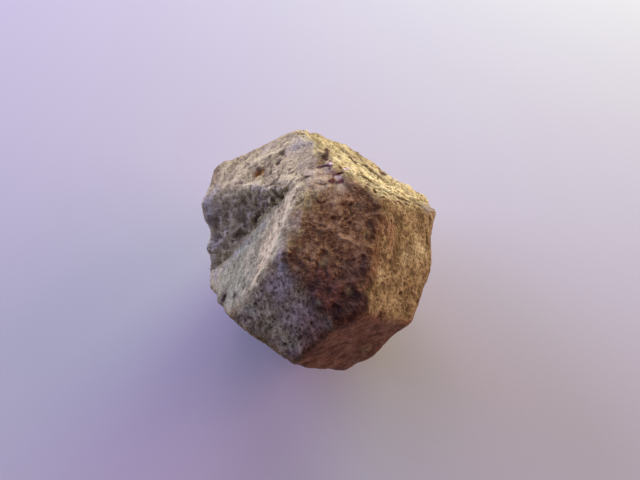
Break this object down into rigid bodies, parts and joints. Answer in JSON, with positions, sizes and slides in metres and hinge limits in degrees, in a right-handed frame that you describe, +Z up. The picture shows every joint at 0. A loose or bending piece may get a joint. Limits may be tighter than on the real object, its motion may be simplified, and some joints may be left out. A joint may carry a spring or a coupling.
{
  "type": "garnet crystal",
  "caption": "Loose weathered garnet crystal of dodecahedral habit, with a re-entrant growth groove, a shoulder facet, a stepped face and a flat face to rest on.",
  "frame": {"origin": "on the surface that the crystal lies on, under the middle of its box", "axes": "+Z up out of the uppermost crystal face, -Z out of the face that it rests on, -Y towards the steep front face, +X towards the right face"},
  "size_m": [0.0218, 0.0234, 0.0197],
  "materials": {
    "weathered_almandine": "dull weathered almandine, iron stained brown, pitted, with buff and ochre patches"
  },
  "bodies": {
    "root": {"garnet_crystal": "weathered_almandine"}
  },
  "joints": []
}
